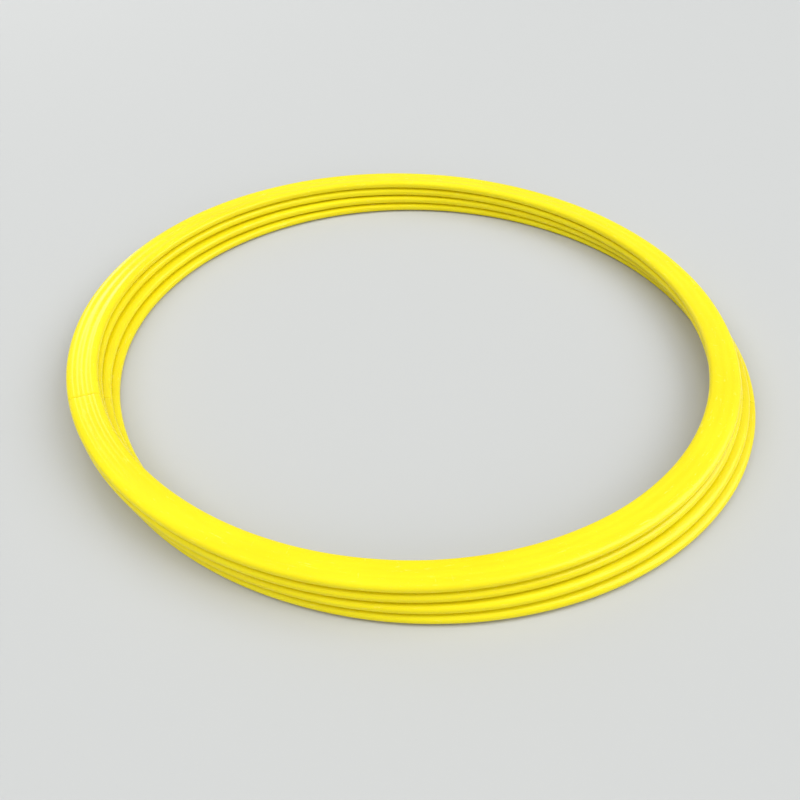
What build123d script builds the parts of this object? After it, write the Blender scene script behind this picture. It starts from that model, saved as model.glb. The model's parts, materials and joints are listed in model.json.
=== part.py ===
from build123d import *
import math
import os

# A set of four flat training hoops, stacked on the ground. Each hoop is a flat
# hollow plastic profile bent into a circle. Its two ends meet in a butt seam over
# a ribbed joining plug, and two flush pins in the inner edge hold them on it.
# Origin: on the ground under the middle of the stack, +Z up. Millimetres.

# Hoop profile
outer_diameter = 600.0
band_width = 27.0
thickness = 8.0
wall = 1.8
seam_gap = 0.3

# Joining plug, with its lengths measured along the middle of the band
plug_length = 76.0
plug_clearance = 0.15
plug_lead_in = 0.8
rib_width = 1.5
rib_bite = 0.05
rib_distances = (8.0, 13.0, 27.0, 32.0)

# Pins, driven outwards through the inner edge
pin_distance = 20.0
pin_radius = 1.5
pin_depth = 12.0
pin_point = 0.6
pin_bite = 0.05
pin_clearance = 0.05
head_radius = 2.2
head_height = 0.8
head_dome = 0.35
seat_depth = 1.0
seat_clearance = 0.1

# How the hoops lie: name, middle in X and Y, and the seam's angle from +X
stack = [
    ("bottom", 8.2, -3.7, -12.0),
    ("second", 1.7, -1.5, 198.0),
    ("third", -5.7, 1.7, -16.0),
    ("top", -8.2, 3.7, 202.0),
]

# Worked out
inner_radius = outer_diameter / 2 - band_width
middle_radius = outer_diameter / 2 - band_width / 2
cavity_width = band_width - 2 * wall
cavity_height = thickness - 2 * wall

os.makedirs("parts", exist_ok=True)


def arc_degrees(length):
    """The angle that a length along the middle of the band takes up."""
    return math.degrees(length / middle_radius)


def section_plane(middle, angle):
    """A plane across the band: X points outwards, Y up, Z along the hoop."""
    outwards = Vector(1, 0, 0).rotate(Axis.Z, angle)
    along = Vector(0, 1, 0).rotate(Axis.Z, angle)
    return Plane(origin=middle + outwards * middle_radius, x_dir=outwards, z_dir=along)


def seat_plane(middle, angle):
    """The plane that a pin's head sits on, facing the middle of the hoop."""
    outwards = Vector(1, 0, 0).rotate(Axis.Z, angle)
    floor = middle + outwards * (inner_radius + seat_depth)
    return Plane(origin=floor, x_dir=Vector(0, 0, 1), z_dir=-outwards)


def save(piece, name):
    """Label a finished piece and write it to its own file."""
    piece.label = name
    export_step(piece, f"parts/{name}.step")


def make_tube(middle, seam, pin_angles):
    """The bent hollow profile, open at the seam, with two stepped pin holes."""
    turn_axis = Axis(middle, (0, 0, 1))
    with BuildPart() as tube:
        with BuildSketch(section_plane(middle, seam + arc_degrees(seam_gap / 2))):
            SlotOverall(band_width, thickness)
            SlotOverall(cavity_width, cavity_height, mode=Mode.SUBTRACT)
        revolve(axis=turn_axis, revolution_arc=360 - arc_degrees(seam_gap))
        for angle in pin_angles:
            with BuildSketch(seat_plane(middle, angle)):
                Circle(head_radius + seat_clearance)
            extrude(amount=seat_depth + head_height, mode=Mode.SUBTRACT)
            with BuildSketch(seat_plane(middle, angle)):
                Circle(pin_radius + pin_clearance)
            extrude(amount=-wall, mode=Mode.SUBTRACT)
    return tube.part


def make_plug(middle, seam, pin_angles):
    """The curved bar inside the seam, with grip ribs and two pin holes."""
    turn_axis = Axis(middle, (0, 0, 1))
    bar_width = cavity_width - 2 * plug_clearance
    bar_height = cavity_height - 2 * plug_clearance
    with BuildPart() as plug:
        with BuildSketch(section_plane(middle, seam - arc_degrees(plug_length / 2))):
            SlotOverall(bar_width, bar_height)
        revolve(axis=turn_axis, revolution_arc=arc_degrees(plug_length))
        chamfer(faces().filter_by(GeomType.PLANE).filter_by(Axis.Z, reverse=True).edges(), plug_lead_in)
        for side in (-1, 1):
            for distance in rib_distances:
                start = seam + side * arc_degrees(distance) - arc_degrees(rib_width / 2)
                with BuildSketch(section_plane(middle, start)):
                    SlotOverall(cavity_width + 2 * rib_bite, cavity_height + 2 * rib_bite)
                revolve(axis=turn_axis, revolution_arc=arc_degrees(rib_width))
        for angle in pin_angles:
            with BuildSketch(seat_plane(middle, angle)):
                Circle(pin_radius - pin_bite)
            extrude(amount=-(pin_depth + pin_point), mode=Mode.SUBTRACT)
    return plug.part


def make_pin(middle, angle):
    """A flush pin: a low domed head on a shank with a blunt point."""
    with BuildPart() as pin:
        with BuildSketch(seat_plane(middle, angle)):
            Circle(head_radius)
        extrude(amount=head_height)
        fillet(edges().filter_by(GeomType.CIRCLE).sort_by_distance(middle)[0], head_dome)
        with BuildSketch(seat_plane(middle, angle)):
            Circle(pin_radius)
        extrude(amount=-pin_depth)
        chamfer(edges().filter_by(GeomType.CIRCLE).sort_by_distance(middle)[-1], pin_point)
    return pin.part


for level, (name, middle_x, middle_y, seam) in enumerate(stack):
    middle = Vector(middle_x, middle_y, (level + 0.5) * thickness)
    pin_angles = [seam + side * arc_degrees(pin_distance) for side in (-1, 1)]
    save(make_tube(middle, seam, pin_angles), f"{name}_hoop_tube")
    save(make_plug(middle, seam, pin_angles), f"{name}_hoop_plug")
    for side, angle in zip(("right", "left"), pin_angles):
        save(make_pin(middle, angle), f"{name}_hoop_pin_{side}")
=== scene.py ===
import bpy
import json
import math
import numpy as np
from mathutils import Matrix, Vector

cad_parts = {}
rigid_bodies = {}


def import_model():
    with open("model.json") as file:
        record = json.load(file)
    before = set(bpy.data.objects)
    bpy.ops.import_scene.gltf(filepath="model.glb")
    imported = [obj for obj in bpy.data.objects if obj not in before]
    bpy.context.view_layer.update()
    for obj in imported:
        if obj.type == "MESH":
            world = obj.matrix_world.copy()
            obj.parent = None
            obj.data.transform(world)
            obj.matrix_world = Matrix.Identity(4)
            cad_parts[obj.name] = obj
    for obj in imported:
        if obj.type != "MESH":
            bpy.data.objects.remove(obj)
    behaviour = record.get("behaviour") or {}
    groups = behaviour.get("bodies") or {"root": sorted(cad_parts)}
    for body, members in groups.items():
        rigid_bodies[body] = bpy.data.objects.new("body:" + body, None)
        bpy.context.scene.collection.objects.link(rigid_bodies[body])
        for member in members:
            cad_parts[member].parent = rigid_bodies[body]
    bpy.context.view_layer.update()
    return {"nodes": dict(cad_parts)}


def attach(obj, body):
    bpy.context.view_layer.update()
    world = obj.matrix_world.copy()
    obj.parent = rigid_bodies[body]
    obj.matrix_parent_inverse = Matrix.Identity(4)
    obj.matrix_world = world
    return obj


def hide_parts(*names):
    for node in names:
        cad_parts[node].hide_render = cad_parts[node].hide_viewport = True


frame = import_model()
hoopNames = ["bottom", "second", "third", "top"]


# the view, and a pale floor under soft light

camera = {
    "lens": 42.51,            # mm
    "sensor": 36.0,           # mm
    "nearest": 0.02,          # where the view starts, in metres
    "lookAt": (-0.0111, -0.0639, 0.0),
    "distance": 0.8363,
    "down": 40.78,            # degrees that it looks down
    "roll": 1.23,
}

studio = {
    "floorSize": 80.0,
    "floorColour": (0.52, 0.52, 0.51),
    "floorRoughness": 0.85,
    "skyColour": (0.95, 0.97, 1.0),
    "skyStrength": 0.44,
    "softColour": (0.98, 1.0, 1.0),
    "softLights": {           # name: (towards, how wide in degrees, strength, seen in gloss)
        "keyRight": ((2.1, 0.4, 2.2), 50.0, 1.55, True),
        "softLeft": ((-2.1, -0.1, 2.3), 30.0, 1.02, False),
        "softTop": ((0.0, 0.2, 3.0), 40.0, 0.62, False),
        "fillFront": ((0.9, -2.6, 1.2), 40.0, 0.86, False),
    },
    "stripLamps": {           # name: (place, size, watts), aimed at the stack, for streaks of gloss
        "streakBackLeft": ((-1.22, 1.94, 1.14), (0.2, 1.5), 5.0),
    },
}


def placeCamera(c):
    data = bpy.data.cameras.new("viewCamera")
    data.lens = c["lens"]
    data.sensor_width = c["sensor"]
    data.clip_start = c["nearest"]
    holder = bpy.data.objects.new("viewCamera", data)
    # turned down from level, moved back along its own axis, then rolled about it
    tilt = Matrix.Rotation(math.radians(90 - c["down"]), 4, "X")
    back = Matrix.Translation((0, 0, c["distance"]))
    roll = Matrix.Rotation(math.radians(c["roll"]), 4, "Z")
    holder.matrix_world = Matrix.Translation(c["lookAt"]) @ tilt @ back @ roll
    bpy.context.scene.collection.objects.link(holder)
    bpy.context.scene.camera = holder


def placeLight(data, place, inGloss=True):
    light = bpy.data.objects.new(data.name, data)
    light.location = place
    light.visible_glossy = inGloss
    light.rotation_euler = (-Vector(place)).to_track_quat("-Z", "Y").to_euler()
    bpy.context.scene.collection.objects.link(light)


def softLight(name, colour, towards, wide, strength, inGloss):
    # a far light as wide as a big diffuser, so it is even over the whole floor
    data = bpy.data.lights.new(name, "SUN")
    data.angle = math.radians(wide)
    data.energy = strength
    data.color = colour
    placeLight(data, towards, inGloss)


def stripLamp(name, place, size, watts):
    data = bpy.data.lights.new(name, "AREA")
    data.shape = "RECTANGLE"
    data.size, data.size_y = size
    data.energy = watts
    placeLight(data, place)


def placeStudio(s):
    floorMaterial = bpy.data.materials.new("paleFloor")
    floorMaterial.use_nodes = True
    shader = floorMaterial.node_tree.nodes["Principled BSDF"]
    shader.inputs["Base Color"].default_value = (*s["floorColour"], 1)
    shader.inputs["Roughness"].default_value = s["floorRoughness"]
    half = s["floorSize"] / 2
    mesh = bpy.data.meshes.new("floor")
    corners = [(-half, -half, 0), (half, -half, 0), (half, half, 0), (-half, half, 0)]
    mesh.from_pydata(corners, [], [(0, 1, 2, 3)])
    mesh.materials.append(floorMaterial)
    floor = bpy.data.objects.new("floor", mesh)
    bpy.context.scene.collection.objects.link(floor)
    world = bpy.data.worlds.new("softSky")
    world.use_nodes = True
    sky = world.node_tree.nodes["Background"]
    sky.inputs["Color"].default_value = (*s["skyColour"], 1)
    sky.inputs["Strength"].default_value = s["skyStrength"]
    bpy.context.scene.world = world
    for name, settings in s["softLights"].items():
        softLight(name, s["softColour"], *settings)
    for name, settings in s["stripLamps"].items():
        stripLamp(name, *settings)
    bpy.context.scene.view_settings.view_transform = "Standard"


placeCamera(camera)
placeStudio(studio)
print("camera and studio placed")


def nodeGraph(name):
    material = bpy.data.materials.new(name)
    material.use_nodes = True
    tree = material.node_tree
    return material, tree, tree.nodes["Principled BSDF"]


def link(tree, source, target):
    tree.links.new(source, target)


def addNoise(tree, place, scale, detail, roughness=0.55):
    noise = tree.nodes.new("ShaderNodeTexNoise")
    noise.inputs["Scale"].default_value = scale
    noise.inputs["Detail"].default_value = detail
    noise.inputs["Roughness"].default_value = roughness
    link(tree, place, noise.inputs["Vector"])
    return noise.outputs["Fac"]


def addRange(tree, value, low, high, toLow, toHigh):
    node = tree.nodes.new("ShaderNodeMapRange")
    link(tree, value, node.inputs["Value"])
    for socket, number in zip(("From Min", "From Max", "To Min", "To Max"), (low, high, toLow, toHigh)):
        node.inputs[socket].default_value = number
    return node.outputs["Result"]


def addMaths(tree, operation, first, second):
    node = tree.nodes.new("ShaderNodeMath")
    node.operation = operation
    for socket, value in zip(node.inputs, (first, second)):
        if isinstance(value, (int, float)):
            socket.default_value = value
        else:
            link(tree, value, socket)
    return node.outputs["Value"]


def addTint(tree, amount, base, tint):
    node = tree.nodes.new("ShaderNodeMix")
    node.data_type = "RGBA"
    link(tree, amount, node.inputs["Factor"])
    for socket, colour in ((node.inputs[6], base), (node.inputs[7], tint)):
        if isinstance(colour, tuple):
            socket.default_value = (*colour, 1)
        else:
            link(tree, colour, socket)
    return node.outputs[2]


def addStretch(tree, place, scale, turn=0.0):
    node = tree.nodes.new("ShaderNodeMapping")
    node.inputs["Scale"].default_value = scale
    node.inputs["Rotation"].default_value = (turn, 0, 0)
    link(tree, place, node.inputs["Vector"])
    return node.outputs["Vector"]


def addBump(tree, height, distance, strength, under=None):
    node = tree.nodes.new("ShaderNodeBump")
    node.inputs["Distance"].default_value = distance
    node.inputs["Strength"].default_value = strength
    link(tree, height, node.inputs["Height"])
    if under is not None:
        link(tree, under, node.inputs["Normal"])
    return node.outputs["Normal"]


hoopFinish = {
    "colour": (0.88, 0.75, 0.008),
    "deepColour": (0.84, 0.68, 0.004),
    "scuffColour": (0.96, 0.86, 0.22),
    "dustColour": (0.55, 0.50, 0.16),
    "gloss": (0.20, 0.27),      # roughness from cleanest to dullest
    "wearRoughness": 0.3,       # added where the plastic is scuffed
    "dieLines": 0.35,           # strength of the fine lines along the band
    # how fine each noise is: per metre across, up and along the band
    "cloudScale": (40, 40, 9),
    "lineScale": (2600, 2600, 3),
    "broadLineScale": (520, 520, 1.6),
    "scuffScale": (420, 420, 60),
    "crossScuffScale": (90, 900, 420),
    "speckScale": 900.0,
    "scuffTurn": 0.5,           # radians, so that scuffs run aslant
    "crossScuffTurn": -0.4,
    # noise from the first number to the second gives an amount from the third to the fourth
    "cloudRange": (0.35, 0.7, 0, 1),
    "scuffRange": (0.60, 0.78, 0, 0.55),
    "crossScuffRange": (0.64, 0.80, 0, 0.45),
    "speckRange": (0.74, 0.80, 0, 0.5),
    "broadLineDepth": 0.00012,
    "fineDepth": 0.00002,       # of the fine lines and the scuffs
    "scuffStrength": 0.3,
    "ior": 1.51,
    "specular": 0.29,
    "subsurface": 0.12,
    "subsurfaceRadius": (0.004, 0.0025, 0.0004),
}


def hoopPlastic(f):
    material, tree, shader = nodeGraph("yellowHoopPlastic")
    coordinates = tree.nodes.new("ShaderNodeAttribute")
    coordinates.attribute_name = "bandPlace"       # across, up and along the band, in metres
    band = coordinates.outputs["Vector"]
    cloud = addNoise(tree, addStretch(tree, band, f["cloudScale"]), 1.0, 3.0)
    lines = addNoise(tree, addStretch(tree, band, f["lineScale"]), 1.0, 2.0)
    broadLines = addNoise(tree, addStretch(tree, band, f["broadLineScale"]), 1.0, 2.0)
    scuffPlace = addStretch(tree, band, f["scuffScale"], f["scuffTurn"])
    scuffs = addNoise(tree, scuffPlace, 1.0, 6.0, 0.72)
    crossPlace = addStretch(tree, band, f["crossScuffScale"], f["crossScuffTurn"])
    crossScuffs = addNoise(tree, crossPlace, 1.0, 4.0, 0.7)
    specks = addNoise(tree, band, f["speckScale"], 2.0)
    colour = addTint(tree, addRange(tree, cloud, *f["cloudRange"]), f["colour"], f["deepColour"])
    scuffMask = addRange(tree, scuffs, *f["scuffRange"])
    crossMask = addRange(tree, crossScuffs, *f["crossScuffRange"])
    wear = addMaths(tree, "MAXIMUM", scuffMask, crossMask)
    colour = addTint(tree, wear, colour, f["scuffColour"])
    colour = addTint(tree, addRange(tree, specks, *f["speckRange"]), colour, f["dustColour"])
    link(tree, colour, shader.inputs["Base Color"])
    gloss = addRange(tree, broadLines, 0.3, 0.7, *f["gloss"])
    dulled = addMaths(tree, "MULTIPLY", wear, f["wearRoughness"])
    link(tree, addMaths(tree, "ADD", gloss, dulled), shader.inputs["Roughness"])
    normal = addBump(tree, broadLines, f["broadLineDepth"], f["dieLines"])
    normal = addBump(tree, lines, f["fineDepth"], f["dieLines"], normal)
    normal = addBump(tree, scuffs, f["fineDepth"], f["scuffStrength"], normal)
    link(tree, normal, shader.inputs["Normal"])
    shader.inputs["IOR"].default_value = f["ior"]
    shader.inputs["Specular IOR Level"].default_value = f["specular"]
    shader.inputs["Subsurface Weight"].default_value = f["subsurface"]
    shader.inputs["Subsurface Radius"].default_value = f["subsurfaceRadius"]
    shader.inputs["Subsurface Scale"].default_value = 1.0
    return material


nylonFinish = {
    "plugColour": (0.74, 0.71, 0.60),
    "plugShade": (0.69, 0.655, 0.535),
    "pinColour": (0.88, 0.72, 0.008),
    "pinShade": (0.82, 0.64, 0.006),
    "roughness": (0.32, 0.48),
    "cloudScale": 160.0,        # how fine each noise is, per metre
    "grainScale": 2400.0,
    "noiseRange": (0.3, 0.7),
    "grainDepth": 0.00003,
    "grainStrength": 0.5,
    "ior": 1.53,
    "subsurface": 0.1,
    "subsurfaceRadius": (0.002, 0.0015, 0.0008),
}


def mouldedNylon(name, f, colour, shade):
    material, tree, shader = nodeGraph(name)
    coordinates = tree.nodes.new("ShaderNodeTexCoord")
    place = coordinates.outputs["Object"]
    cloud = addNoise(tree, place, f["cloudScale"], 4.0)
    grain = addNoise(tree, place, f["grainScale"], 3.0)
    shading = addRange(tree, cloud, *f["noiseRange"], 0, 1)
    link(tree, addTint(tree, shading, colour, shade), shader.inputs["Base Color"])
    link(tree, addRange(tree, grain, *f["noiseRange"], *f["roughness"]), shader.inputs["Roughness"])
    link(tree, addBump(tree, grain, f["grainDepth"], f["grainStrength"]), shader.inputs["Normal"])
    shader.inputs["IOR"].default_value = f["ior"]
    shader.inputs["Subsurface Weight"].default_value = f["subsurface"]
    shader.inputs["Subsurface Radius"].default_value = f["subsurfaceRadius"]
    shader.inputs["Subsurface Scale"].default_value = 1.0
    return material


yellowPlastic = hoopPlastic(hoopFinish)
plugNylon = mouldedNylon("naturalNylon", nylonFinish, nylonFinish["plugColour"], nylonFinish["plugShade"])
pinNylon = mouldedNylon("yellowNylon", nylonFinish, nylonFinish["pinColour"], nylonFinish["pinShade"])
print("materials ready")


def nodePoints(node):
    # every corner of a CAD node's mesh, as rows of x, y, z
    mesh = frame["nodes"][node].data
    points = np.empty(len(mesh.vertices) * 3)
    mesh.vertices.foreach_get("co", points)
    return points.reshape(-1, 3)


reading = {
    "faceDepth": 0.000001,      # a point this near the top is on the top face
    "tipDepth": 0.00005,        # a point this near the farthest is on the pin's tip
    "digits": 7,                # that tell two corners of the tip apart
}


def hoopPlan(name, r):
    # The top face is a flat ring. A least squares circle through its outer rim's points,
    # x2 + y2 = 2ax + 2by + c, gives the middle, and the rounded edges add half the thickness.
    # Each pin's tip gives its bearing, and the seam is half way between the pins.
    points = nodePoints(name + "_hoop_tube")
    lowest, highest = points.min(0), points.max(0)
    face = points[points[:, 2] > highest[2] - r["faceDepth"]]
    reach = np.hypot(*(face - (lowest + highest) / 2)[:, :2].T)
    rim = face[reach > reach.mean()][:, :2]
    terms = np.column_stack([2 * rim, np.ones(len(rim))])
    a, b, c = np.linalg.lstsq(terms, (rim ** 2).sum(1), rcond=None)[0]
    middle = np.array([a, b, (lowest[2] + highest[2]) / 2])
    thickness = float(highest[2] - lowest[2])
    faceOuter = math.sqrt(c + a * a + b * b)
    faceInner = float(np.hypot(*(face - middle)[:, :2].T).min())
    pins = {}
    for side in ("right", "left"):
        pinPoints = nodePoints(f"{name}_hoop_pin_{side}")
        far = np.hypot(*(pinPoints - middle)[:, :2].T)
        atTip = pinPoints[far > far.max() - r["tipDepth"]].round(r["digits"])
        tip = np.unique(atTip, axis=0).mean(0) - middle
        pins[side] = math.atan2(tip[1], tip[0])
    between = np.exp(1j * pins["right"]) + np.exp(1j * pins["left"])
    return {
        "name": name, "middle": middle, "thickness": thickness, "outer": faceOuter + thickness / 2,
        "inner": faceInner - thickness / 2, "pins": pins, "seam": float(np.angle(between)),
    }


plans = [hoopPlan(name, reading) for name in hoopNames]
for plan in plans:
    print(plan["name"], "middle", plan["middle"].round(5),
          "radius", round(plan["outer"], 5), round(plan["inner"], 5),
          "seam", round(math.degrees(plan["seam"]), 3),
          "pins", [round(math.degrees(v), 3) for v in plan["pins"].values()])


creaseAngle = 35.0            # degrees; sharper edges than this are shaded as edges


def gridMesh(name, points, closedRows, attribute=None):
    # A grid of points, rows by columns, made into quads. Columns always close on themselves.
    # Rows close on themselves too, or else end in poles: the mean of an end row, joined by triangles.
    # The sum of corner0 . (corner1 x corner2) over the triangles is six times the volume inside,
    # so if it comes out below zero every face is turned round.
    rows, columns = points.shape[:2]
    index = np.arange(rows * columns).reshape(rows, columns)
    nextRow = np.roll(index, -1, 0)
    nextColumn = np.roll(index, -1, 1)
    quads = np.stack([index, nextColumn, np.roll(nextRow, -1, 1), nextRow], -1)
    vertices = points.reshape(-1, 3)
    caps = np.empty((0, 3), int)
    if not closedRows:
        quads = quads[:-1]
        vertices = np.vstack([vertices, points[0].mean(0), points[-1].mean(0)])
        start, end = np.full(columns, len(vertices) - 2), np.full(columns, len(vertices) - 1)
        caps = np.vstack([np.column_stack([start, nextColumn[0], index[0]]),
                          np.column_stack([end, index[-1], nextColumn[-1]])])
    quads = quads.reshape(-1, 4)
    corners = vertices[np.vstack([quads[:, :3], quads[:, [0, 2, 3]], caps])]
    if np.einsum("ij,ij->", corners[:, 0], np.cross(corners[:, 1], corners[:, 2])) < 0:
        quads, caps = quads[:, ::-1], caps[:, ::-1]
    mesh = bpy.data.meshes.new(name)
    mesh.from_pydata(vertices.tolist(), [], quads.tolist() + caps.tolist())
    if attribute is not None:
        place = mesh.attributes.new("bandPlace", "FLOAT_VECTOR", "POINT")
        place.data.foreach_set("vector", attribute.ravel())
    mesh.polygons.foreach_set("use_smooth", np.ones(len(mesh.polygons), bool))
    mesh.set_sharp_from_angle(angle=math.radians(creaseAngle))
    mesh.update()
    return mesh


def addPiece(name, mesh, material, body, node):
    mesh.materials.append(material)
    piece = bpy.data.objects.new(name, mesh)
    bpy.context.scene.collection.objects.link(piece)
    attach(piece, body)
    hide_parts(node)


def bandColumns(halfFlat, edgeHeights, flatSteps, outerSteps):
    # The section is a slot: a core line from -halfFlat to +halfFlat with an outline at an even
    # distance from it. Each column is a place on the core and the direction out from there:
    # along the underside, round the outer edge, back along the top, and round the inner edge
    # at the given heights, each a share of the edge's radius.
    flat = np.sin(np.linspace(-math.pi / 2, math.pi / 2, flatSteps + 1)) * halfFlat
    outer = np.linspace(-math.pi / 2, math.pi / 2, outerSteps + 1)[1:-1]
    inner = math.pi - np.arcsin(edgeHeights[::-1])
    core = np.concatenate([flat, np.full(len(outer), halfFlat), flat[::-1], np.full(len(inner), -halfFlat)])
    turn = np.concatenate([np.full(len(flat), -math.pi / 2), outer, np.full(len(flat), math.pi / 2), inner])
    return core, np.cos(turn), np.sin(turn)


def bandPoints(plan, middleRadius, edgeRadius, columns, angles, inset):
    # point = middle + (middle radius + across) outwards + up, where
    # (across, up) = core place + direction * (edge radius - inset)
    core, towards, upwards = columns
    across = core + towards * (edgeRadius - inset)
    up = upwards * (edgeRadius - inset)
    reach = middleRadius + across
    angles = angles[:, None]
    x = plan["middle"][0] + reach * np.cos(angles)
    y = plan["middle"][1] + reach * np.sin(angles)
    return np.stack([x, y, plan["middle"][2] + up], -1), np.stack([across, up], -1)


tube = {
    "wall": 0.0018,
    "seamGap": 0.0003,
    "lip": 0.00028,           # rounding of the two cut ends
    "dish": 0.00005,          # how far the wide faces sink between the edges
    "flute": 0.00031,         # depth of the two shallow flutes along each wide face
    "fluteSpan": 0.0078,      # from the middle to the far side of a flute
    "shoulder": 0.00030,      # how far the shoulders fall away, just past the wide faces
    "shoulderPlace": 0.0010,  # of its lowest line, round the edge from the wide face
    "shoulderWidth": 0.0020,
    "ripple": 0.00005,        # slow unevenness along and across the band
    "rippleLengths": (0.31, 0.147, 0.083),
    "rippleBend": 2.2,        # how far the ripple's phase swings across the band
    "rippleAcross": 2,        # radians that the swing turns from the middle to a face's side
    "spacing": 0.0036,        # between rows along the band
    "seatRadius": 0.0023,     # the round recess that a pin's head lies in
    "seatDepth": 0.0010,
    "seatRing": 0.0038,       # how far round a pin the rows turn to circles
    "seatClear": 1.6,         # times seatRing, where the even rows stop
    # places of the rows round a seat, and of the steps of its lip with how deep each is sunk,
    # all as shares of the seat's radius and depth
    "seatRows": (0.35, 0.7, 0.95, 1.0, 1.015, 1.05, 1.12, 1.3, 1.5),
    "lipPlaces": (1.0, 1.015, 1.05, 1.12),
    "lipShares": (1.0, 0.12, 0.03, 0.0),
    "endHeights": (0.9, 0.95, 0.99),   # columns near the top and bottom of the inner edge
    "lipSteps": 6,
    "flatSteps": 28,
    "outerSteps": 18,
    "backStart": 8,           # the cavity leaves out the skin's last 8 rows, then takes every third
    "backStride": 3,
}


def seatSteps(t):
    # distances from a pin's axis where the surface needs a row: floor, wall, lip and beyond
    steps = np.array(t["seatRows"]) * t["seatRadius"]
    return np.concatenate([-steps[::-1], [0.0], steps])


def endSteps(t):
    # the lip's rows at a cut end: distance from the end face, and how far the outline draws in there
    turn = np.linspace(0, math.pi / 2, t["lipSteps"])
    return t["lip"] * (1 - np.cos(turn)), t["lip"] * (1 - np.sin(turn))


def tubeRows(plan, t, middleRadius):
    # bearings from the seam, from one cut end to the other, closer together at lips and pins
    first = t["seamGap"] / 2 / middleRadius
    last = 2 * math.pi - first
    count = int(round((last - first) * middleRadius / t["spacing"]))
    even = np.linspace(first, last, count + 1)[1:-1]
    seats = [(plan["pins"][side] - plan["seam"]) % (2 * math.pi) for side in ("right", "left")]
    clear = t["seatClear"] * t["seatRing"] / plan["inner"]
    for seat in seats:
        even = even[np.abs(even - seat) > clear]
    near = [seat + seatSteps(t) / plan["inner"] for seat in seats]
    distance, drawIn = endSteps(t)
    lips = distance / middleRadius
    rows = np.concatenate([first + lips, last - lips, even, *near])
    inset = np.concatenate([drawIn, drawIn, np.zeros(len(rows) - 2 * len(lips))])
    order = np.argsort(rows)
    return rows[order], inset[order], seats


def edgePoints(plan, t, edgeRadius, bearing, along, height, share):
    # Places on the inner edge, from their distances along the band and up from a pin's axis: the edge
    # is a half circle in section, and a share of 1 drops it to a flat floor square to the pin.
    surface = plan["inner"] + edgeRadius - np.sqrt(edgeRadius ** 2 - height ** 2)
    surface = np.sqrt(surface ** 2 - along ** 2)
    depth = surface + share * np.maximum(plan["inner"] + t["seatDepth"] - surface, 0)
    outwards = np.array([math.cos(bearing), math.sin(bearing)])
    aside = np.array([-outwards[1], outwards[0]])
    flat = plan["middle"][:2] + depth[..., None] * outwards + along[..., None] * aside
    return np.concatenate([flat, plan["middle"][2] + height[..., None]], -1)


def sinkSeat(points, plan, t, edgeRadius, columns, rows, seat):
    # Near a pin, squares of the grid round its axis are turned to circles: a point at (a, h) from the
    # axis moves to (a, h) * max(|a|, |h|) / length(a, h). Inside the seat's radius it then drops to
    # the floor, and a small lip rounds over to the surface.
    core, towards, upwards = columns
    onEdge = np.where((core < 0) & (towards < 0))[0]
    nearRows = np.where(np.abs(rows - seat) * plan["inner"] < t["seatRing"])[0]
    along = (rows[nearRows] - seat)[:, None] * plan["inner"] + 0 * onEdge[None, :]
    height = upwards[onEdge][None, :] * edgeRadius + 0 * along
    square = np.maximum(np.abs(along), np.abs(height))
    ringed = np.interp(square, [t["lipPlaces"][-1] * t["seatRadius"], t["seatRing"]], [1.0, 0.0])
    pull = 1 + ringed * (square / np.maximum(np.hypot(along, height), 1e-9) - 1)
    share = np.interp(square / t["seatRadius"], t["lipPlaces"], t["lipShares"])
    bearing = plan["seam"] + seat
    before = edgePoints(plan, t, edgeRadius, bearing, along, height, 0)
    after = edgePoints(plan, t, edgeRadius, bearing, along * pull, height * pull, share)
    points[np.ix_(nearRows, onEdge)] += after - before


def sectionInset(t, halfFlat, edgeRadius, core, upwards):
    # how far the skin lies inside the slot: dish * (1 - u^2)^2 + flute * sin(pi a / span)^2 on the wide
    # faces, with a = across and u = a / halfFlat, and shoulder * exp(-((s - place) / width)^2), with
    # s the distance round the outline from where the wide face ends
    across = np.abs(core)
    dish = t["dish"] * (1 - (across / halfFlat) ** 2) ** 2
    flute = t["flute"] * np.sin(math.pi * np.minimum(across / t["fluteSpan"], 1)) ** 2
    past = across - halfFlat + edgeRadius * np.arccos(np.minimum(np.abs(upwards), 1))
    return dish + flute + t["shoulder"] * np.exp(-((past - t["shoulderPlace"]) / t["shoulderWidth"]) ** 2)


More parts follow.
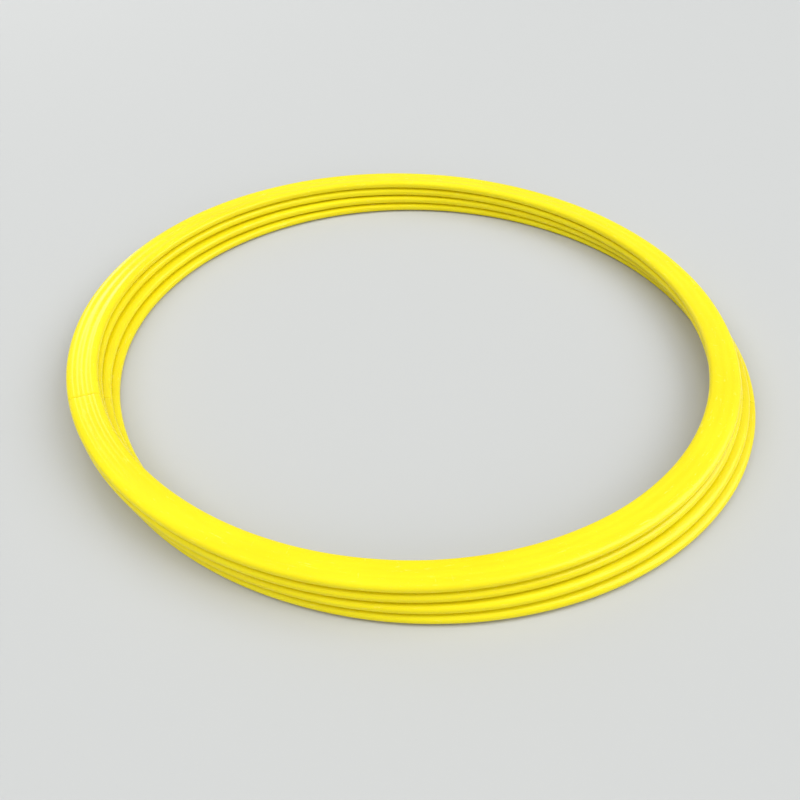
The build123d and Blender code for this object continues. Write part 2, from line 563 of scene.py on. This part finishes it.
def makeTube(plan, t, seed):
    # One closed grid: out along the skin from cut end to cut end, and back along the cavity.
    # The skin is the slot section carried round the circle, less the section's own inset and a slow
    # ripple of sines along the band.
    edgeRadius = plan["thickness"] / 2
    halfFlat = (plan["outer"] - plan["inner"]) / 2 - edgeRadius
    middleRadius = (plan["outer"] + plan["inner"]) / 2
    ends = np.array(t["endHeights"])
    heights = np.concatenate([-ends[::-1], seatSteps(t) / edgeRadius, ends])
    columns = bandColumns(halfFlat, heights, t["flatSteps"], t["outerSteps"])
    core, towards, upwards = columns
    rows, drawIn, seats = tubeRows(plan, t, middleRadius)
    phases = np.random.default_rng(seed).uniform(0, 2 * math.pi, (len(t["rippleLengths"]), 2))
    ripple = 0
    for wavelength, (phase, slope) in zip(t["rippleLengths"], phases):
        waves = max(1, round(2 * math.pi * middleRadius / wavelength))
        swing = t["rippleBend"] * np.sin(slope + core / halfFlat * t["rippleAcross"] + upwards)
        ripple = ripple + 1 + np.sin(waves * rows[:, None] + phase + swing)
    inset = sectionInset(t, halfFlat, edgeRadius, core, upwards)
    skinInset = drawIn[:, None] + inset + t["ripple"] / 2 * ripple
    skin, skinPlace = bandPoints(plan, middleRadius, edgeRadius, columns, plan["seam"] + rows, skinInset)
    for seat in seats:
        sinkSeat(skin, plan, t, edgeRadius, columns, rows, seat)
    backRows = np.concatenate([rows[-1:], rows[::-1][t["backStart"]::t["backStride"]], rows[:1]])
    backInset = np.full((len(backRows), len(core)), t["wall"])
    backAngles = plan["seam"] + backRows
    cavity, cavityPlace = bandPoints(plan, middleRadius, edgeRadius, columns, backAngles, backInset)
    points = np.concatenate([skin, cavity])
    place = np.concatenate([skinPlace, cavityPlace])
    along = np.concatenate([rows, backRows])[:, None] * middleRadius + seed + 0 * core
    bandPlace = np.concatenate([place, along[..., None]], -1)
    return gridMesh(plan["name"] + "HoopBand", points, True, bandPlace)


for number, plan in enumerate(plans):
    name = plan["name"]
    mesh = makeTube(plan, tube, number + 1)
    addPiece(name + "HoopBand", mesh, yellowPlastic, name + "_hoop", name + "_hoop_tube")
bands = [o.data for o in bpy.data.objects if o.name.endswith("Band")]
print("four bands made,", sum(len(mesh.polygons) for mesh in bands), "faces")


# a joining plug lies inside each seam
plug = {
    "wall": 0.0018,           # of the tube round it
    "length": 0.076,
    "clearance": 0.00015,
    "leadIn": 0.0022,         # length of the tapered ends
    "taper": 0.0008,
    "barbs": (0.008, 0.013, 0.027, 0.032),   # from the middle, on each side
    "barbLength": 0.0015,
    "barbDrop": 0.00003,      # length that a barb's straight side takes up
    "spacing": 0.0006,        # between rows along the plug
    "edgeHeights": (0.97, 11),   # of the inner edge's columns: farthest from level, and how many
    "flatSteps": 10,
    "outerSteps": 12,
}


def makePlug(plan, p):
    # The slot section of the cavity carried along the arc s = -length/2 .. length/2, drawn in by
    # clearance, by a taper over the lead-in at each end, and let out to the cavity wall at each barb:
    # a barb rises slowly towards the middle and drops straight down, so it slides in and grips.
    edgeRadius = plan["thickness"] / 2 - p["wall"]
    halfFlat = (plan["outer"] - plan["inner"] - plan["thickness"]) / 2
    middleRadius = (plan["outer"] + plan["inner"]) / 2
    rows = np.linspace(-p["length"] / 2, p["length"] / 2, int(p["length"] / p["spacing"]) + 1)
    starts = np.array(p["barbs"]) - p["barbLength"] / 2
    finishes = np.array(p["barbs"]) + p["barbLength"] / 2
    steps = [starts - p["barbDrop"], starts, finishes]
    rows = np.sort(np.concatenate([rows, *steps, *[-step for step in steps]]))
    pastStart = np.abs(rows) - starts[:, None]
    rise = np.clip(1 - pastStart / p["barbLength"], 0, 1) * (pastStart >= -p["barbDrop"] / 2)
    lift = rise.max(0)
    toEnd = p["length"] / 2 - np.abs(rows)
    taper = p["taper"] * np.clip(1 - toEnd / p["leadIn"], 0, 1) ** 2
    inset = (p["clearance"] * (1 - lift) + taper)[:, None]
    farthest, count = p["edgeHeights"]
    heights = np.linspace(-farthest, farthest, count)
    columns = bandColumns(halfFlat, heights, p["flatSteps"], p["outerSteps"])
    angles = plan["seam"] + rows / middleRadius
    points, _ = bandPoints(plan, middleRadius, edgeRadius, columns, angles, inset)
    return gridMesh(plan["name"] + "HoopPlug", points, False)


# two pins go through each inner edge into the plug
pin = {
    "headRadius": 0.0022,
    "headHeight": 0.0008,
    "dome": 0.00022,          # of the head's height that is crown
    "dimple": (0.0005, 0.00012),   # radius and depth of the gate mark in its middle
    "shankRadius": 0.0015,
    "depth": 0.0120,
    "point": 0.0006,
    "rings": (0.0035, 0.0050, 0.0065, 0.0080),
    "ringHeight": 0.00006,
    "ringWidth": 0.00025,
    "rim": 0.00025,           # radius of the head's rounded rim
    "crownStart": 0.00006,    # distance of the first circle from the axis
    "shankStart": 0.0004,     # distance of the shank's first circle from the seat
    "seatDepth": 0.0010,
    "crownSteps": 16,
    "rimSteps": 6,
    "shankSteps": 90,
    "around": 40,
}


def pinOutline(p):
    # half outline of the pin as (distance from its axis, height above its seat), from the head's
    # middle outwards and down: crown - dome * (r / R)^2, less a round dimple, then the rim as a
    # quarter circle, the shank with low rings, and a blunt cone
    radius = p["headRadius"]
    rim = p["rim"]
    r = np.linspace(p["crownStart"], radius - rim, p["crownSteps"])
    dip = p["dimple"][1] * np.clip(1 - (r / p["dimple"][0]) ** 2, 0, 1)
    crown = p["headHeight"] - p["dome"] * (r / radius) ** 2 - dip
    turn = np.linspace(0, math.pi / 2, p["rimSteps"])[1:]
    rimTop = crown[-1] - rim
    rimR, rimH = radius - rim + rim * np.sin(turn), rimTop + rim * np.cos(turn)
    underR, underH = [radius, p["shankRadius"]], [0.0, 0.0]
    down = np.linspace(p["shankStart"], p["depth"] - p["point"], p["shankSteps"])
    bulge = sum(np.exp(-((down - ring) / p["ringWidth"]) ** 2) for ring in p["rings"])
    shankR = p["shankRadius"] - p["ringHeight"] * (1 - bulge)
    tipR, tipH = [p["shankRadius"] - p["point"]], [-p["depth"]]
    reach = np.concatenate([r, rimR, underR, shankR, tipR])
    height = np.concatenate([crown, rimH, underH, -down, tipH])
    return reach, height


def makePin(plan, side, p):
    # the outline turned round the pin's axis, which points from the seat to the hoop's middle
    reach, height = pinOutline(p)
    turn = np.linspace(0, 2 * math.pi, p["around"], endpoint=False)
    outwards = np.array([math.cos(plan["pins"][side]), math.sin(plan["pins"][side]), 0.0])
    aside = np.array([-outwards[1], outwards[0], 0.0])
    up = np.array([0.0, 0.0, 1.0])
    seat = plan["middle"] + outwards * (plan["inner"] + p["seatDepth"])
    ring = np.cos(turn)[:, None] * aside + np.sin(turn)[:, None] * up
    points = seat - height[:, None, None] * outwards + reach[:, None, None] * ring
    return gridMesh(plan["name"] + "HoopPin" + side.capitalize(), points, False)


for plan in plans:
    name, body = plan["name"], plan["name"] + "_hoop"
    addPiece(name + "HoopPlug", makePlug(plan, plug), plugNylon, body, body + "_plug")
    for side in ("right", "left"):
        mesh = makePin(plan, side, pin)
        addPiece(mesh.name, mesh, pinNylon, body, f"{body}_pin_{side}")
print("plugs and pins made")
